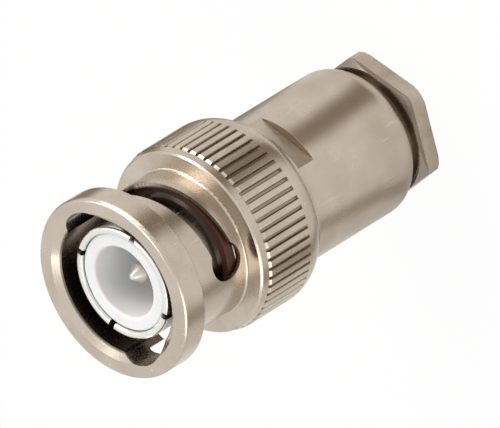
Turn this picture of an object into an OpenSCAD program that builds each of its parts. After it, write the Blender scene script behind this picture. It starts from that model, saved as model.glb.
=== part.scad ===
// Clamp-type bayonet plug for thin coaxial cable, 50 ohm pattern.
// The axis is Z. The cable end stands on z = 0 and the mating end points up.
// All sizes are in millimetres, angles in degrees, both measured about +Z.

/* [Cable clamp nut] */
// Width across the flats of the hexagon
nut_flats = 9.35; // [9.1:0.05:10.4]
// Length of the hexagon
nut_hex_len = 1.5; // [1.2:0.1:3]
// Gap left between the body's rear end and the hexagon
nut_gap = 0.85; // [0.7:0.05:1.5]
// Length of the threaded shank inside the body
nut_grip = 2.85; // [2.5:0.05:4]
// Bore for the cable's jacket
cable_d = 5.3; // [4.8:0.1:5.6]
// Angle of one corner of the hexagon
nut_angle = -76; // [-180:1:180]

/* [Cable clamping parts] */
// Thickness of the slip washer
slip_washer_t = 0.65; // [0.5:0.05:1]
// Height of the V-grooved cable gasket
gasket_h = 2.5; // [2:0.1:3.5]
// Depth of the gasket's V groove
gasket_groove = 0.8; // [0.4:0.05:1.2]
// Length of the braid clamp's tapered sleeve
braid_sleeve_len = 2.2; // [1.6:0.1:3]
// Thickness of the braid clamp's flange
braid_flange_t = 0.9; // [0.6:0.05:1.4]
// Bore of the braid clamp, for the cable's core
core_d = 3.2; // [2.8:0.1:3.8]

/* [Body] */
// Outside diameter of the body
body_d = 10.67; // [10.4:0.05:11.2]
// Diameter of the smooth thread bore at the rear
thread_d = 8.8; // [8.6:0.05:9]
// Axial length of the rounded rear end
body_nose_len = 1.05; // [0.6:0.05:1.6]
// Radial drop of the rounded rear end
body_nose_drop = 0.45; // [0.2:0.05:0.5]
// Width across the two wrench flats
flats_w = 9.5; // [9.3:0.05:10.2]
// Length of the wrench flats
flats_len = 2; // [1.4:0.1:2.6]
// Direction that the first wrench flat faces
flats_angle = -49; // [-180:1:180]
// How far the collar that the wave spring pushes on stands out of the body
collar_step = 0.535; // [0.4:0.005:0.7]
// Thickness of that collar
collar_t = 1.05; // [0.8:0.05:1.5]
// Diameter of the front nose that carries the gasket
nose_d = 9.5; // [9.2:0.05:9.6]
// Length of the front nose
nose_len = 1.7; // [1.4:0.05:2.2]
// Height of that collar above the body's web
collar_rise = 4.05; // [3.9:0.05:4.6]
// Bore that holds the braid clamp and the rear insulator
stack_d = 8.2; // [8:0.05:8.4]

/* [Outer contact] */
// Diameter over the spring fingers
finger_d = 8.1; // [7.9:0.05:8.2]
// How much further out than the fingers their base reaches, in the body's nose
contact_base_step = 0.2; // [0.16:0.02:0.3]
// Wall of the fingers
finger_wall = 0.52; // [0.4:0.02:0.6]
// Number of slots between the fingers
finger_slots = 4; // [3:1:8]
// Width of those slots
finger_slot_w = 0.45; // [0.3:0.05:0.7]
// Direction of the first slot
finger_angle = -48; // [-180:1:180]
// Distance of the finger tips behind the coupling's front
finger_setback = 0.9; // [0.6:0.05:1.4]

/* [Insulators] */
// Bore of the socket in the front insulator
socket_d = 5.1; // [4.8:0.05:5.4]
// Depth of that socket
socket_depth = 5.3; // [4.6:0.1:6]
// Distance of the insulator's front behind the finger tips
insulator_setback = 0.2; // [0.1:0.05:0.6]
// Thickness of the body's web between the two insulators
web_t = 1.5; // [1.2:0.1:2]
// Bore of that web
web_d = 5.2; // [4.8:0.1:5.6]
// Thickness of the rear insulator's disc
rear_disc_t = 1.3; // [1:0.1:1.8]

/* [Centre contact] */
// Diameter of the pin
pin_d = 1.35; // [1.2:0.05:1.5]
// Distance of the pin's tip behind the finger tips
pin_setback = 0.95; // [0.6:0.05:1.6]
// Diameter of the pin's captive shoulder
pin_shoulder_d = 2.3; // [2:0.05:2.8]
// Diameter of the solder cup at the rear
cup_d = 1.9; // [1.7:0.05:2.2]
// Length of the solder cup behind the rear insulator
cup_len = 2.6; // [1.8:0.1:3.2]

/* [Front gasket] */
// Thickness of the flat gasket
front_gasket_t = 0.8; // [0.6:0.05:1]

/* [Coupling nut] */
// Outside diameter of the front ring
ring_d = 12.96; // [12.6:0.02:13.2]
// Length of the front ring
ring_len = 1.95; // [1.6:0.05:2.4]
// Rounding of the ring's front edge
ring_round = 0.28; // [0.1:0.02:0.4]
// Bore that slides over the mating jack
bayonet_d = 9.74; // [9.7:0.02:9.8]
// Diameter of the thin neck that the ramps are cut through
neck_d = 10.44; // [10.3:0.02:10.8]
// Length of that neck
neck_len = 5.45; // [5.2:0.05:6]
// Wall of the skirt under the knurl
skirt_wall = 0.75; // [0.6:0.05:1]
// Length of the knurled skirt
skirt_len = 6.1; // [5.9:0.05:6.6]
// Length of the skirt's rounded rear
skirt_curve_len = 1.5; // [1.2:0.05:1.8]
// Thickness of the coupling's wall in front of the body's collar
shoulder_t = 1.15; // [1:0.05:1.6]
// Length of the knurl's grooves
groove_len = 4; // [3:0.1:4.2]
// Number of grooves round the knurl
groove_count = 60; // [40:1:72]
// Width of each groove at its mouth
groove_w = 0.3; // [0.2:0.02:0.36]
// Depth of each groove
groove_depth = 0.17; // [0.1:0.01:0.22]
// Radius of the skirt's rounded rear
skirt_round = 2.2; // [1.8:0.05:2.6]

/* [Bayonet ramps] */
// Width of a ramp slot
ramp_w = 2; // [1.9:0.02:2.2]
// Depth of the ramp's start behind the ring's front
ramp_start = 4.28; // [4.1:0.02:4.4]
// Turn from the entry groove to the detent
ramp_turn = 106.5; // [95:0.5:110]
// Rise of the ramp over that turn
ramp_rise = 1.36; // [1.1:0.02:1.4]
// Diameter of the detent hole
detent_d = 2.65; // [2.3:0.05:2.7]
// Radius that the entry grooves reach
entry_r = 5.56; // [5.5:0.01:5.62]
// Radius of the cutter that makes an entry groove
entry_cutter_r = 2.6; // [2.2:0.05:3]

/* [Coupling spring] */
// Forward travel of the coupling nut against its spring
coupling_travel = 0.8; // [0.5:0.05:1]
// Number of waves in the spring
wave_count = 3; // [2:1:5]
// Thickness of the spring's strip
wave_t = 0.3; // [0.2:0.02:0.4]
// Height that the spring takes between collar and washer
wave_space = 1.8; // [1.6:0.05:2]
// Thickness of the thrust washer
thrust_t = 0.7; // [0.5:0.05:1]
// Thickness of the retainer's visible rim
rim_t = 0.28; // [0.2:0.02:0.4]
// How far the retainer's visible rim reaches out past the body
rim_step = 0.665; // [0.6:0.005:0.75]

/* [Clearances] */
// Radial clearance of parts that turn or slide on each other
run_gap = 0.08; // [0.04:0.01:0.1]
// Axial clearance between parts that move against each other
end_gap = 0.05; // [0.03:0.01:0.1]
// Radial clearance of the smooth thread
thread_gap = 0.06; // [0.03:0.01:0.1]
// Radial clearance of loose parts in their bore
loose_gap = 0.1; // [0.05:0.01:0.15]

/* [Hidden] */
$fn = 96;
eps = 0.01;
far = 20;

nickel = [0.72, 0.69, 0.64];
brass = [0.80, 0.68, 0.40];
silver = [0.78, 0.77, 0.74];
steel = [0.60, 0.60, 0.61];
white_plastic = [0.93, 0.94, 0.95];
red_silicone = [0.52, 0.16, 0.09];
black_rubber = [0.12, 0.12, 0.12];

// Cable end, from the nut's rear face upwards
hex_top = nut_hex_len;
body_rear = hex_top + nut_gap;
shank_top = body_rear + nut_grip;
slip_z = shank_top + end_gap;
cable_gasket_z = slip_z + slip_washer_t + end_gap;
braid_z = cable_gasket_z + gasket_h + end_gap;
braid_flange_z = braid_z + braid_sleeve_len;
rear_disc_z = braid_flange_z + braid_flange_t;
web_z = rear_disc_z + rear_disc_t;
contact_z = web_z + web_t;

// Body's collar and nose, then the coupling that hangs on them
collar_z = web_z + collar_rise;
nose_z = collar_z + collar_t;
seat_z = nose_z + nose_len;
gasket_top = seat_z + front_gasket_t;
shoulder_z = nose_z + end_gap;
skirt_front = shoulder_z + shoulder_t;
skirt_rear = skirt_front - skirt_len;
rim_top = skirt_rear - end_gap;
retainer_z = rim_top - rim_t;
thrust_z = collar_z - wave_space - thrust_t;
ring_rear = skirt_front + neck_len;
ring_front = ring_rear + ring_len;

// Contacts and insulators
finger_tip = ring_front - finger_setback;
insulator_front = finger_tip - insulator_setback;
socket_floor = insulator_front - socket_depth;
pin_tip = finger_tip - pin_setback;
pin_cone = 0.75;
pin_shoulder_t = 0.7;

// Radii
body_r = body_d / 2;
thread_r = thread_d / 2;
shank_r = thread_r - thread_gap;
stack_r = stack_d / 2;
cable_r = cable_d / 2;
loose_r = thread_r - loose_gap;
slack_r = cable_r + 2 * loose_gap;
collar_r = body_r + collar_step;
cavity_r = collar_r + run_gap;
nose_r = nose_d / 2;
finger_r = finger_d / 2;
base_r = finger_r + contact_base_step;
socket_r = socket_d / 2;
web_r = web_d / 2;
pin_r = pin_d / 2;
cup_r = cup_d / 2;
bayonet_r = bayonet_d / 2;
neck_r = neck_d / 2;
ring_r = ring_d / 2;
knurl_r = cavity_r + skirt_wall;
rim_r = body_r + rim_step;
insulator_r = finger_r - finger_wall;

// Small edges and seats
edge = 0.12;
slip_fit = 0.02;
lead_in = 0.45;
lead_in_r = bayonet_r + 0.52;

// A profile's point pair [radius, level] turned about Z
module turned() rotate_extrude() children();

// A tube between two levels
module tube(r_out, r_in, z0, z1) {
    translate([0, 0, z0]) difference() {
        cylinder(r = r_out, h = z1 - z0);
        translate([0, 0, -eps]) cylinder(r = r_in, h = z1 - z0 + 2 * eps);
    }
}

// What a rounded corner takes off a profile. The corner is at [x, y], and dx
// and dy are 1 or -1 towards the material.
module corner_off(x, y, r, dx, dy) {
    translate([x, y]) difference() {
        translate([dx > 0 ? -eps : -r, dy > 0 ? -eps : -r]) square([r + eps, r + eps]);
        translate([dx * r, dy * r]) circle(r = r);
    }
}

// What a fillet adds to an inside corner at [x, y], towards dx and dy
module fillet_on(x, y, r, dx, dy) {
    translate([x, y]) difference() {
        translate([dx > 0 ? -eps : -r, dy > 0 ? -eps : -r]) square([r + eps, r + eps]);
        translate([dx * r, dy * r]) circle(r = r);
    }
}

module clamp_nut() {
    corner_r = nut_flats / 2 / cos(30);
    trim_r = corner_r - 0.13;
    front_r = nut_flats / 2 + 0.07;
    rear_r = corner_r - 0.33;
    slope = tan(30);
    color(nickel) difference() {
        union() {
            intersection() {
                rotate(nut_angle) cylinder(r = corner_r, h = hex_top, $fn = 6);
                turned() polygon([
                    [0, 0], [rear_r, 0], [trim_r, (trim_r - rear_r) * slope],
                    [trim_r, hex_top - (trim_r - front_r) * slope], [front_r, hex_top], [0, hex_top]]);
            }
            turned() polygon([
                [0, hex_top - eps], [shank_r, hex_top - eps], [shank_r, shank_top - 0.2],
                [shank_r - 0.2, shank_top], [0, shank_top]]);
        }
        translate([0, 0, -eps]) cylinder(r = cable_r, h = shank_top + 2 * eps);
        translate([0, 0, -eps]) cylinder(r1 = cable_r + 0.25, r2 = cable_r, h = 0.25);
    }
}

module slip_washer()
    color(brass) tube(loose_r, slack_r, slip_z, slip_z + slip_washer_t);

module cable_gasket() {
    top = cable_gasket_z + gasket_h;
    middle = (loose_r + slack_r) / 2;
    half_mouth = (loose_r - slack_r) * 0.36;
    color(black_rubber) turned() polygon([
        [slack_r, cable_gasket_z], [loose_r, cable_gasket_z], [loose_r, top],
        [middle + half_mouth, top], [middle, top - gasket_groove], [middle - half_mouth, top],
        [slack_r, top]]);
}

module braid_clamp() {
    flange_r = stack_r - loose_gap;
    sleeve_r = flange_r - 0.8;
    sleeve_tip_r = sleeve_r - 0.9;
    color(brass) difference() {
        turned() polygon([
            [0, braid_z], [sleeve_tip_r, braid_z], [sleeve_r, braid_flange_z],
            [flange_r, braid_flange_z], [flange_r, rear_disc_z], [0, rear_disc_z]]);
        translate([0, 0, braid_z - eps])
            cylinder(d = core_d, h = rear_disc_z - braid_z + 2 * eps);
    }
}

module plug_body() {
    flats_z = retainer_z - flats_len;
    nose_arc_r = (body_nose_len ^ 2 + body_nose_drop ^ 2) / (2 * body_nose_drop);
    color(nickel) difference() {
        turned() difference() {
            union() {
                translate([0, body_rear]) square([body_r, collar_z - body_rear]);
                translate([0, collar_z]) square([collar_r, collar_t]);
                translate([0, nose_z - eps]) square([nose_r, nose_len + eps]);
            }
            corner_off(nose_r, seat_z, edge, -1, -1);
            corner_off(collar_r, nose_z, edge, -1, -1);
            corner_off(collar_r, collar_z, edge, -1, 1);
            difference() {
                translate([body_r - nose_arc_r, body_rear - eps])
                    square([nose_arc_r + eps, body_nose_len + eps]);
                translate([body_r - nose_arc_r, body_rear + body_nose_len]) circle(r = nose_arc_r);
            }
        }
        translate([0, 0, body_rear - eps]) cylinder(r = thread_r, h = braid_z - body_rear + eps);
        translate([0, 0, braid_z - eps]) cylinder(r = stack_r, h = web_z - braid_z + eps);
        translate([0, 0, web_z - eps]) cylinder(r = web_r, h = web_t + 2 * eps);
        translate([0, 0, contact_z]) cylinder(r = base_r, h = seat_z - contact_z + eps);
        for (side = [0, 180]) rotate(flats_angle + side)
            translate([flats_w / 2, -body_r, flats_z]) cube([body_r, body_d, flats_len]);
    }
}

module outer_contact() {
    slot_z = gasket_top + 0.35;
    color(silver) difference() {
        turned() difference() {
            union() {
                translate([insulator_r, contact_z])
                    square([base_r - insulator_r, gasket_top - contact_z]);
                translate([insulator_r, contact_z]) square([finger_wall, finger_tip - contact_z]);
            }
            corner_off(finger_r, finger_tip, finger_wall * 0.4, -1, -1);
            corner_off(insulator_r, finger_tip, finger_wall * 0.3, 1, -1);
        }
        for (i = [0:finger_slots - 1]) rotate(finger_angle + i * 360 / finger_slots)
            translate([0, -finger_slot_w / 2, slot_z])
                cube([finger_r + 1, finger_slot_w, finger_tip - slot_z + eps]);
    }
}

module front_insulator() {
    pocket_r = pin_shoulder_d / 2 + 0.05;
    color(white_plastic) turned() difference() {
        translate([cup_r + slip_fit, contact_z])
            square([insulator_r - cup_r - 2 * slip_fit, insulator_front - contact_z]);
        translate([0, socket_floor]) square([socket_r, far]);
        translate([0, contact_z - eps]) square([pocket_r, pin_shoulder_t + 0.05 + eps]);
        corner_off(insulator_r - slip_fit, insulator_front, 0.15, -1, -1);
        corner_off(socket_r, insulator_front, 0.2, 1, -1);
    }
}

module rear_insulator() {
    color(white_plastic) turned() difference() {
        union() {
            translate([0, rear_disc_z]) square([stack_r - 0.05, rear_disc_t]);
            translate([0, web_z - eps]) square([web_r - 0.05, web_t + eps]);
        }
        translate([0, rear_disc_z - eps]) square([cup_r + slip_fit, contact_z - rear_disc_z + 2 * eps]);
    }
}

module centre_pin() {
    cup_z = rear_disc_z - cup_len;
    wire_r = cup_r * 0.6;
    color(silver) difference() {
        turned() union() {
            polygon([
                [0, contact_z], [pin_r, contact_z], [pin_r, pin_tip - pin_cone],
                [pin_r * 0.32, pin_tip - 0.06], [pin_r * 0.18, pin_tip], [0, pin_tip]]);
            translate([0, contact_z]) square([pin_shoulder_d / 2, pin_shoulder_t]);
            translate([0, cup_z]) square([cup_r, socket_floor - cup_z]);
        }
        translate([0, 0, cup_z - eps]) cylinder(r = wire_r, h = cup_len - 0.3);
        translate([0, 0, rear_disc_z - 0.8]) rotate([0, 90, 0]) cylinder(r = 0.3, h = cup_r + 1);
    }
}

module front_gasket()
    color(red_silicone) tube(nose_r, base_r, seat_z, gasket_top);

// One sloping slot, as a band of box sections swept round the axis
module ramp_slot() {
    steps = 30;
    reach = 0.8;
    radii = [bayonet_r - reach, neck_r + reach];
    level = function(k) ring_front - ramp_start - ramp_rise * k / steps;
    ring = function(k) let (a = -ramp_turn * k / steps) [
        for (c = [[0, -1], [1, -1], [1, 1], [0, 1]])
            [radii[c[0]] * cos(a), radii[c[0]] * sin(a), level(k) + c[1] * ramp_w / 2]];
    points = [for (k = [0:steps]) each ring(k)];
    sides = [for (k = [0:steps - 1]) for (j = [0:3]) let (
        p = 4 * k + j, q = 4 * k + (j + 1) % 4) each [[p, q + 4, q], [p, p + 4, q + 4]]];
    last = 4 * steps;
    caps = [[0, 1, 2], [0, 2, 3], [last, last + 2, last + 1], [last, last + 3, last + 2]];
    polyhedron(points = points, faces = concat(sides, caps));
}

// What lets one bayonet lug of the jack in, round and home
module lug_path() {
    entry_z = ring_front - ramp_start - ramp_w / 2;
    detent_z = ring_front - ramp_start - ramp_rise;
    translate([entry_r - entry_cutter_r, 0, entry_z])
        cylinder(r = entry_cutter_r, h = ring_front - entry_z + eps);
    ramp_slot();
    rotate(-ramp_turn) translate([bayonet_r - 0.8, 0, detent_z]) rotate([0, 90, 0])
        cylinder(d = detent_d, h = neck_r - bayonet_r + 1.6);
}

module knurl_groove() {
    root = knurl_r - groove_depth;
    root_w = groove_w * 0.55;
    polygon([[root, -root_w / 2], [knurl_r + eps, -groove_w / 2], [knurl_r + 0.3, -groove_w / 2],
        [knurl_r + 0.3, groove_w / 2], [knurl_r + eps, groove_w / 2], [root, root_w / 2]]);
}

module coupling_nut() {
    band_z = skirt_rear + skirt_curve_len;
    groove_top = band_z + groove_len;
    face_r = knurl_r - 0.3;
    color(nickel) difference() {
        turned() difference() {
            union() {
                polygon([
                    [bayonet_r, skirt_rear], [knurl_r, skirt_rear], [knurl_r, skirt_front - 0.8],
                    [knurl_r - 0.1, skirt_front - 0.62], [knurl_r - 0.18, skirt_front - edge],
                    [face_r, skirt_front], [bayonet_r, skirt_front]]);
                translate([bayonet_r, skirt_front - eps])
                    square([neck_r - bayonet_r, neck_len + 2 * eps]);
                translate([bayonet_r, ring_rear]) square([ring_r - bayonet_r, ring_len]);
                fillet_on(neck_r, skirt_front, 0.15, 1, 1);
                fillet_on(neck_r, ring_rear, 0.25, 1, -1);
            }
            // Lead-in, rounded edges and the cavity for collar and spring
            polygon([
                [bayonet_r - eps, ring_front - lead_in], [bayonet_r, ring_front - lead_in],
                [lead_in_r, ring_front], [lead_in_r, ring_front + eps],
                [bayonet_r - eps, ring_front + eps]]);
            corner_off(ring_r, ring_front, ring_round, -1, -1);
            corner_off(ring_r, ring_rear, edge, -1, 1);
            translate([0, skirt_rear - eps]) square([cavity_r, shoulder_z - skirt_rear + eps]);
            difference() {
                translate([knurl_r - skirt_round, skirt_rear - eps])
                    square([skirt_round + eps, skirt_curve_len + eps]);
                translate([knurl_r - skirt_round, band_z]) circle(r = skirt_round);
            }
        }
        for (side = [0, 180]) rotate(side) lug_path();
        translate([0, 0, band_z]) linear_extrude(groove_len)
            for (i = [0:groove_count - 1]) rotate(i * 360 / groove_count) knurl_groove();
    }
}

module coupling_retainer() {
    barrel_top = thrust_z - end_gap;
    color(nickel) turned() difference() {
        union() {
            translate([body_r + run_gap, retainer_z])
                square([rim_r - body_r - run_gap, rim_t]);
            translate([body_r + run_gap, retainer_z])
                square([cavity_r - body_r - run_gap, barrel_top - retainer_z]);
        }
        corner_off(rim_r, retainer_z, rim_t * 0.4, -1, 1);
        corner_off(rim_r, rim_top, rim_t * 0.3, -1, -1);
    }
}

module thrust_washer()
    color(steel) tube(cavity_r - loose_gap, body_r + run_gap, thrust_z, thrust_z + thrust_t);

// A closed strip whose level rises and falls round the axis
module wave_spring() {
    steps = 16 * wave_count;
    middle = thrust_z + thrust_t + wave_space / 2;
    swing = wave_space / 2 - wave_t / 2 - 0.02;
    radii = [body_r + loose_gap, cavity_r - loose_gap];
    ring = function(k) let (a = 360 * k / steps, z = middle + swing * sin(wave_count * a)) [
        for (c = [[0, -1], [1, -1], [1, 1], [0, 1]])
            [radii[c[0]] * cos(a), radii[c[0]] * sin(a), z + c[1] * wave_t / 2]];
    points = [for (k = [0:steps - 1]) each ring(k)];
    total = 4 * steps;
    faces = [for (k = [0:steps - 1]) for (j = [0:3]) let (
        p = 4 * k + j, q = 4 * k + (j + 1) % 4, p2 = (p + 4) % total, q2 = (q + 4) % total)
        each [[p, q2, q], [p, p2, q2]]];
    color(steel) polyhedron(points = points, faces = faces);
}

clamp_nut();
slip_washer();
cable_gasket();
braid_clamp();
plug_body();
outer_contact();
front_insulator();
rear_insulator();
centre_pin();
front_gasket();
coupling_nut();
coupling_retainer();
thrust_washer();
wave_spring();
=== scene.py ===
import math
import bpy
from mathutils import Matrix, Vector


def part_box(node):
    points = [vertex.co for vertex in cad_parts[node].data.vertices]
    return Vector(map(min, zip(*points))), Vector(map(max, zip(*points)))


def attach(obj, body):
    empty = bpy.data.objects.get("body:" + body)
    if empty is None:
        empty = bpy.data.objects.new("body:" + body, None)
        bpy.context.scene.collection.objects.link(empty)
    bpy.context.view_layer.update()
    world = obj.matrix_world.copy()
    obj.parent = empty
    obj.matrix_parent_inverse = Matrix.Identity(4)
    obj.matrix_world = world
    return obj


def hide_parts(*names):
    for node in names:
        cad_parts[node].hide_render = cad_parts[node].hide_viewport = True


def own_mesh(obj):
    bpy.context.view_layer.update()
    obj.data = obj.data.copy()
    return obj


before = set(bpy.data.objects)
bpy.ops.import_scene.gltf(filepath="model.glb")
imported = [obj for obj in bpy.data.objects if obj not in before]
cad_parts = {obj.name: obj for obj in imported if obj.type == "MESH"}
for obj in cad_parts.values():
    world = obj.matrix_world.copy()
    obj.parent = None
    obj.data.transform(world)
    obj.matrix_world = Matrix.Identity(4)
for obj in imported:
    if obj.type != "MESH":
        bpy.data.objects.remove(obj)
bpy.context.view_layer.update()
mm = 0.001


# Shader maths and nodes

class Field:
    # One socket of a node tree. Maths on it adds Math nodes.
    def __init__(self, tree, socket):
        self.tree = tree
        self.socket = socket

    def __add__(self, other):
        return self.tree.node("ShaderNodeMath", {"operation": "ADD"}, {0: self, 1: other})

    def __mul__(self, other):
        return self.tree.node("ShaderNodeMath", {"operation": "MULTIPLY"}, {0: self, 1: other})

    def __rsub__(self, other):
        return self.tree.node("ShaderNodeMath", {"operation": "SUBTRACT"}, {0: other, 1: self})

    __radd__ = __add__
    __rmul__ = __mul__


class Tree:
    # The nodes of one material or of the world
    def __init__(self, owner, output):
        owner.use_nodes = True
        self.owner = owner
        self.nodes = owner.node_tree.nodes
        self.links = owner.node_tree.links
        self.nodes.clear()
        self.output = self.nodes.new(output)

    def node(self, kind, settings=None, values=None, out=0):
        made = self.nodes.new(kind)
        for key, value in (settings or {}).items():
            setattr(made, key, value)
        for key, value in (values or {}).items():
            if isinstance(value, Field):
                self.links.new(value.socket, made.inputs[key])
            else:
                made.inputs[key].default_value = value
        return Field(self, made.outputs[out])

    def finish(self, shader):
        self.links.new(shader.socket, self.output.inputs["Surface"])
        return self.owner

    # Coordinates in metres, fixed to the piece
    def place(self):
        return self.node("ShaderNodeTexCoord", out=3)

    def stretched(self, scale):
        return self.node("ShaderNodeMapping", {}, {"Vector": self.place(), "Scale": scale})

    # Distance from the object's axis, and height above its foot
    def radius(self):
        flat = self.node("ShaderNodeVectorMath", {"operation": "MULTIPLY"}, {
            0: self.place(), 1: (1, 1, 0)})
        return self.node("ShaderNodeVectorMath", {"operation": "LENGTH"}, {0: flat}, out=1)

    def level(self):
        return self.node("ShaderNodeSeparateXYZ", {}, {0: self.place()}, out=2)

    # 1 between two values of a field, and 0 outside them, with soft ends
    def within(self, field, low, high, soft):
        return self.ramp(field, low - soft, low) * (1 - self.ramp(field, high, high + soft))

    def noise(self, scale, detail=2.0, rough=0.5, vector=None):
        return self.node("ShaderNodeTexNoise", {}, {
            "Vector": vector or self.place(), "Scale": scale, "Detail": detail, "Roughness": rough})

    def ramp(self, field, low, high):
        return self.node("ShaderNodeMapRange", {"clamp": True}, {
            "Value": field, "From Min": low, "From Max": high})

    def blend(self, factor, first, second):
        return self.node("ShaderNodeMix", {"data_type": "RGBA"}, {
            0: factor, 6: (*first, 1) if isinstance(first, tuple) else first,
            7: (*second, 1) if isinstance(second, tuple) else second}, out=2)

    def bump(self, height, distance, strength):
        return self.node("ShaderNodeBump", {}, {
            "Height": height, "Distance": distance, "Strength": strength})


def newTree(name):
    return Tree(bpy.data.materials.new(name), "ShaderNodeOutputMaterial")


# Finishes

plated = {
    "nickelWarm": (0.58, 0.51, 0.435),
    "nickelBrown": (0.39, 0.32, 0.25),
    "contactLight": (0.80, 0.79, 0.76),
    "contactDark": (0.70, 0.68, 0.64),
    "speckScale": 9000,
    "scratchScale": 2600,
    "cloudScale": 330,
    "cloudRange": (0.35, 0.7),
    "speckRange": (0.62, 0.72),
    "scratchRange": (0.66, 0.74),
    "turnPitch": 0.11 * mm,
    "scratch": (0.80, 0.77, 0.72),
    # dark brown used as painted shade and painted dark reflections
    "paintedShade": (0.11, 0.078, 0.052),
    "bumpDepth": 0.0022 * mm,
}


def makePlate(name, light, dark, rough, marks, paintedShadeMask=None):
    tree = newTree(name)
    cloud = tree.ramp(tree.noise(plated["cloudScale"], 3), *plated["cloudRange"])
    speck = tree.ramp(tree.noise(plated["speckScale"], 2, 0.6), *plated["speckRange"])
    streaks = tree.noise(plated["scratchScale"], 2, 0.6, tree.stretched((1, 1, 0.12)))
    scratch = tree.ramp(streaks, *plated["scratchRange"])
    turned = tree.node("ShaderNodeTexWave", {"bands_direction": "Z"}, {
        "Vector": tree.place(), "Scale": 0.3 / plated["turnPitch"], "Distortion": 1.5, "Detail": 2.0})
    colour = tree.blend(cloud * 0.5 + speck * 0.25, light, dark)
    colour = tree.blend(scratch * 0.35, colour, plated["scratch"])
    # Painted shade and painted dark reflections: the mask blends the plate's colour toward a fixed dark
    # brown
    if paintedShadeMask:
        colour = tree.blend(paintedShadeMask(tree), colour, plated["paintedShade"])
    height = turned * marks + streaks * 0.5 + speck * 0.6
    shader = tree.node("ShaderNodeBsdfPrincipled", {}, {
        "Base Color": colour,
        "Metallic": 1.0,
        "Roughness": rough + cloud * 0.06 + scratch * 0.12 + speck * 0.1,
        "Normal": tree.bump(height, plated["bumpDepth"], 0.5)})
    return tree.finish(shader)


def makePlastic(name, light, dark, rough):
    tree = newTree(name)
    cloud = tree.noise(420, 2)
    grain = tree.noise(6000, 2)
    shader = tree.node("ShaderNodeBsdfPrincipled", {}, {
        "Base Color": tree.blend(cloud, light, dark),
        "Roughness": rough + grain * 0.1,
        "Subsurface Weight": 0.5,
        "Subsurface Scale": 0.8 * mm,
        "Normal": tree.bump(grain, 0.004 * mm, 0.4)})
    return tree.finish(shader)


def makeRubber(name, light, dark, rough):
    tree = newTree(name)
    grain = tree.noise(5200, 3)
    shader = tree.node("ShaderNodeBsdfPrincipled", {}, {
        "Base Color": tree.blend(grain, light, dark),
        "Roughness": rough + grain * 0.12,
        "Normal": tree.bump(grain, 0.01 * mm, 0.5)})
    return tree.finish(shader)


# Where each plated piece is painted dark: painted shade and painted dark reflections in hollows, grooves and
# bands. Radii and levels are pairs, and share is how dark it gets.

dark = {
    "bore": {"radii": (4.93 * mm, 5.0 * mm), "share": 0.85},
    "grooves": {"radii": (6.57 * mm, 6.66 * mm), "levels": (14.62 * mm, 18.56 * mm), "soft": 0.02 * mm,
                "share": 0.6},
    "endWall": {"radii": (5.29 * mm, 5.32 * mm), "levels": (10.76 * mm, 10.78 * mm), "soft": 0.01 * mm,
                "share": 0.9},
    "shank": {"radii": (4.55 * mm, 4.7 * mm), "share": 0.9},
    "chamfer": {"levels": (1.16 * mm, 1.49 * mm), "soft": 0.03 * mm, "share": 0.6},
    "fingers": {"levels": (25.35 * mm, 25.5 * mm), "share": 0.85},
}


# 1 nearer the axis than the two radii of a dark place, and 0 further out
def inside(tree, spot):
    return 1 - tree.ramp(tree.radius(), *spot["radii"])


# 1 between its two levels
def between(tree, spot):
    return tree.within(tree.level(), *spot["levels"], spot["soft"])


# Painted shade and painted dark reflections in the coupling's bore and at the roots of its knurl grooves
def paintedShadeCoupling(tree):
    bore = inside(tree, dark["bore"])
    grooves = inside(tree, dark["grooves"])
    return bore * dark["bore"]["share"] + grooves * between(tree, dark["grooves"]) * dark["grooves"]["share"]


# Painted shade and painted dark reflection on the body's end wall
def paintedShadeBody(tree):
    endWall = inside(tree, dark["endWall"])
    return endWall * between(tree, dark["endWall"]) * dark["endWall"]["share"]


# Painted shade and painted dark reflections on the nut's shank and the band of its front chamfer
def paintedShadeNut(tree):
    shank = inside(tree, dark["shank"])
    chamfer = between(tree, dark["chamfer"])
    return tree.node("ShaderNodeMath", {"operation": "MAXIMUM"}, {
        0: shank * dark["shank"]["share"], 1: chamfer * dark["chamfer"]["share"]})


# Painted shade: the contact is painted dark inside the bore, below its finger tips
def paintedShadeContact(tree):
    return (1 - tree.ramp(tree.level(), *dark["fingers"]["levels"])) * dark["fingers"]["share"]


finishes = {
    "nickel": makePlate("nickel", plated["nickelWarm"], plated["nickelBrown"], 0.25, 0.35),
    "coupling": makePlate("nickelCoupling", plated["nickelWarm"], plated["nickelBrown"], 0.22, 0.35,
                          paintedShadeCoupling),
    "body": makePlate("nickelBody", plated["nickelWarm"], plated["nickelBrown"], 0.27, 0.35, paintedShadeBody),
    "nut": makePlate("nickelNut", plated["nickelWarm"], plated["nickelBrown"], 0.22, 0.3, paintedShadeNut),
    "contact_nickel": makePlate("contactNickel", plated["contactLight"], plated["contactDark"], 0.2, 0.25,
                                paintedShadeContact),
    "pin_silver": makePlate("pinSilver", (0.74, 0.70, 0.65), (0.60, 0.56, 0.50), 0.3, 0.3),
    "brass": makePlate("brass", (0.72, 0.55, 0.27), (0.58, 0.42, 0.18), 0.28, 0.5),
    "steel": makePlate("steel", (0.58, 0.57, 0.56), (0.44, 0.43, 0.42), 0.3, 0.3),
    "white_plastic": makePlastic("whitePlastic", (0.80, 0.80, 0.80), (0.77, 0.775, 0.78), 0.4),
    # The red silicone is coloured near black-brown, darker than it is: painted shade where it shows through
    # the coupling's slot
    "red_silicone": makeRubber("redSilicone", (0.075, 0.02, 0.01), (0.045, 0.012, 0.006), 0.45),
    "black_rubber": makeRubber("blackRubber", (0.03, 0.03, 0.03), (0.015, 0.015, 0.015), 0.5),
}

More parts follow.
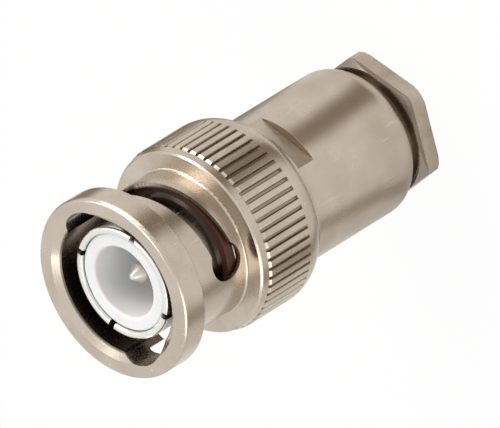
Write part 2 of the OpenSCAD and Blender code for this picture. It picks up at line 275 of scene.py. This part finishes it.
nodeFinish = {
    "clamp_nut": "nut",
    "slip_washer": "brass",
    "cable_gasket": "black_rubber",
    "braid_clamp": "brass",
    "plug_body": "body",
    "outer_contact": "contact_nickel",
    "front_insulator": "white_plastic",
    "rear_insulator": "white_plastic",
    "centre_pin": "pin_silver",
    "front_gasket": "red_silicone",
    "coupling_nut": "coupling",
    "coupling_retainer": "nickel",
    "thrust_washer": "steel",
    "wave_spring": "steel",
}

for nodeName, finishName in nodeFinish.items():
    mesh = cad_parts[nodeName].data
    mesh.materials.clear()
    mesh.materials.append(finishes[finishName])
print("finishes on", len(nodeFinish), "nodes")


# Fine thread on the clamp nut's shank

thread = {
    "pitch": 0.8 * mm,
    "height": 0.045 * mm,
    "rootGap": 0.02 * mm,
    "shankRadius": 4.34 * mm,
    "hexHeight": 1.5 * mm,
    "hexGap": 0.1 * mm,
    "endGap": 0.3 * mm,
    "halfShare": 0.42,
    "footShare": 0.9,
    "stepsPerTurn": 72,
    "runoutSteps": 12,
}


def makeThread():
    low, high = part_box("clamp_nut")
    start = low.z + thread["hexHeight"] + thread["hexGap"]
    turns = (high.z - thread["endGap"] - start) / thread["pitch"]
    count = int(turns * thread["stepsPerTurn"])
    half = thread["pitch"] * thread["halfShare"]
    points = []
    faces = []
    for i in range(count + 1):
        angle = 2 * math.pi * i / thread["stepsPerTurn"]
        level = start + thread["pitch"] * i / thread["stepsPerTurn"]
        swell = min(1, i / thread["runoutSteps"], (count - i) / thread["runoutSteps"])
        for reach, shift in ((-thread["rootGap"], -half), (thread["height"] * swell, 0),
                             (-thread["rootGap"], half)):
            radius = thread["shankRadius"] + reach
            points.append((radius * math.cos(angle), radius * math.sin(angle),
                           level + shift * thread["footShare"]))
    for i in range(count):
        a = 3 * i
        for j, k in ((0, 1), (1, 2), (2, 0)):
            faces.append((a + j, a + 3 + j, a + 3 + k, a + k))
    faces.append((0, 1, 2))
    faces.append((3 * count + 2, 3 * count + 1, 3 * count))
    mesh = bpy.data.meshes.new("nutThread")
    mesh.from_pydata(points, [], faces)
    mesh.materials.append(finishes["nickel"])
    piece = bpy.data.objects.new("nutThread", mesh)
    bpy.context.scene.collection.objects.link(piece)
    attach(piece, "nut")


makeThread()
print("thread done")


# A copy of the wave spring, with its own mesh, rides on the plug in place of the CAD part


def makeSpring():
    piece = bpy.data.objects.new("waveSpring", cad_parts["wave_spring"].data.copy())
    bpy.context.scene.collection.objects.link(piece)
    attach(piece, "plug")
    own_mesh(piece)
    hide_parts("wave_spring")


makeSpring()
print("spring done")


# Floor, cards and light

def addPlane(name, size, place, turn=(0, 0, 0)):
    half = size / 2
    mesh = bpy.data.meshes.new(name)
    mesh.from_pydata([(-half, -half, 0), (half, -half, 0), (half, half, 0), (-half, half, 0)],
                     [], [(0, 1, 2, 3)])
    plane = bpy.data.objects.new(name, mesh)
    plane.location = place
    plane.rotation_euler = turn
    bpy.context.scene.collection.objects.link(plane)
    return plane


stageLook = {
    "floorColour": (0.80, 0.79, 0.77),
    "floorWhiteShare": 0.95,
    "worldSoft": 0.62,
    "lampTint": (1, 0.985, 0.96),
    "sheetLevel": 0.0006,
    "sheetSteps": 24,
}


def makeFloor():
    tree = newTree("paleFloor")
    rays = tree.nodes.new("ShaderNodeLightPath")
    isCamera = Field(tree, rays.outputs["Is Camera Ray"])
    matt = tree.node("ShaderNodeBsdfDiffuse", {}, {"Color": (*stageLook["floorColour"], 1)})
    white = tree.node("ShaderNodeEmission", {}, {"Color": (1, 1, 1, 1), "Strength": 1.0})
    share = isCamera * stageLook["floorWhiteShare"]
    shader = tree.node("ShaderNodeMixShader", {}, {0: share, 1: matt, 2: white})
    floor = addPlane("floor", 3.0, (0, 0, 0))
    floor.data.materials.append(tree.finish(shader))


makeFloor()

# Dark sheets beside the object that only its polish sees
sheets = [
    # start and end in degrees from +X, anticlockwise seen from above, and soft is the width of an edge
    {"start": -64, "end": -20, "near": 0.0075, "far": 0.3, "tone": (0.30, 0.24, 0.18), "soft": 14},
    {"start": -172, "end": -140, "near": 0.0075, "far": 0.3, "tone": (0.42, 0.37, 0.31), "soft": 12},
    {"start": 36, "end": 76, "near": 0.0075, "far": 0.3, "tone": (0.28, 0.23, 0.18), "soft": 10},
]


def makeSheets():
    for index, sheet in enumerate(sheets):
        tree = newTree("darkSheet" + str(index))
        glow = tree.node("ShaderNodeEmission", {}, {"Color": (*sheet["tone"], 1), "Strength": 1.0})
        clear = tree.node("ShaderNodeBsdfTransparent")
        edge = tree.node("ShaderNodeAttribute", {"attribute_name": "cover"}, out=2)
        glow = tree.node("ShaderNodeMixShader", {}, {0: edge, 1: clear, 2: glow})
        steps = stageLook["sheetSteps"]
        points = []
        cover = []
        for i in range(steps + 1):
            along = (sheet["end"] - sheet["start"]) * i / steps
            fromEdge = min(along, sheet["end"] - sheet["start"] - along)
            cover += [min(1, fromEdge / sheet["soft"])] * 2
            angle = math.radians(sheet["start"] + along)
            for radius in (sheet["near"], sheet["far"]):
                points.append((radius * math.cos(angle), radius * math.sin(angle), stageLook["sheetLevel"]))
        faces = [(2 * i, 2 * i + 1, 2 * i + 3, 2 * i + 2) for i in range(steps)]
        mesh = bpy.data.meshes.new("sheet" + str(index))
        mesh.from_pydata(points, [], faces)
        mesh.attributes.new("cover", "FLOAT", "POINT").data.foreach_set("value", cover)
        mesh.materials.append(tree.finish(glow))
        card = bpy.data.objects.new("sheet" + str(index), mesh)
        bpy.context.scene.collection.objects.link(card)
        card.visible_camera = False
        card.visible_diffuse = False
        card.visible_shadow = False
        card.visible_transmission = False


makeSheets()

aim = Vector((-0.531, -0.098, 13.5)) * mm

lamps = [
    {"name": "topBox", "from": (0.35, 0.25, 0.9), "distance": 0.5, "size": 0.35, "power": 0.8},
    {"name": "sideBox", "from": (0.95, -0.1, 0.35), "distance": 0.45, "size": 0.25, "power": 1.3},
    {"name": "fillBox", "from": (-0.8, -0.5, 0.45), "distance": 0.5, "size": 0.4, "power": 0.95},
]


def makeLamps():
    for lamp in lamps:
        data = bpy.data.lights.new(lamp["name"], "AREA")
        data.shape = "SQUARE"
        data.size = lamp["size"]
        data.energy = lamp["power"]
        data.color = stageLook["lampTint"]
        light = bpy.data.objects.new(lamp["name"], data)
        toward = Vector(lamp["from"]).normalized()
        light.location = aim + toward * lamp["distance"]
        light.rotation_euler = toward.to_track_quat("Z", "Y").to_euler()
        bpy.context.scene.collection.objects.link(light)


makeLamps()


def makeWorld():
    world = bpy.data.worlds.new("studio")
    bpy.context.scene.world = world
    tree = Tree(world, "ShaderNodeOutputWorld")
    rays = tree.nodes.new("ShaderNodeLightPath")
    isCamera = Field(tree, rays.outputs["Is Camera Ray"])
    isGlossy = Field(tree, rays.outputs["Is Glossy Ray"])
    isClear = Field(tree, rays.outputs["Is Transmission Ray"])
    seen = tree.node("ShaderNodeMath", {"operation": "MINIMUM"}, {
        0: isCamera + isGlossy + isClear, 1: 1.0})
    soft = tree.node("ShaderNodeBackground", {}, {
        "Color": (1, 1, 1, 1), "Strength": stageLook["worldSoft"]})
    white = tree.node("ShaderNodeBackground", {}, {"Color": (1, 1, 1, 1), "Strength": 1.0})
    shader = tree.node("ShaderNodeMixShader", {}, {0: seen, 1: soft, 2: white})
    tree.finish(shader)


makeWorld()
print("stage done")


# Camera

viewing = {
    "azimuth": 10.5,
    "elevation": 38.5,
    "distance": 1.0,
    "frameWidth": 32.9 * mm,
    "rollAlong": 0.851,
    "rollAcross": 0.5255,
}


def makeCamera():
    a = math.radians(viewing["azimuth"])
    e = math.radians(viewing["elevation"])
    back = Vector((math.sin(a) * math.cos(e), -math.cos(a) * math.cos(e), math.sin(e)))
    axisSeen = (Vector((0, 0, 1)) - back * back.z).normalized()
    axisSide = back.cross(axisSeen)
    # the object's axis runs to the lower left of the frame
    right = axisSeen * -viewing["rollAlong"] + axisSide * viewing["rollAcross"]
    up = axisSeen * -viewing["rollAcross"] - axisSide * viewing["rollAlong"]
    data = bpy.data.cameras.new("camera")
    data.sensor_width = 36
    data.lens = data.sensor_width * viewing["distance"] / viewing["frameWidth"]
    data.clip_start = 0.01
    data.clip_end = 10
    camera = bpy.data.objects.new("camera", data)
    turn = Matrix((right, up, back)).transposed()
    camera.matrix_world = Matrix.Translation(aim + back * viewing["distance"]) @ turn.to_4x4()
    bpy.context.scene.collection.objects.link(camera)
    bpy.context.scene.camera = camera


makeCamera()
bpy.context.scene.view_settings.view_transform = "Standard"
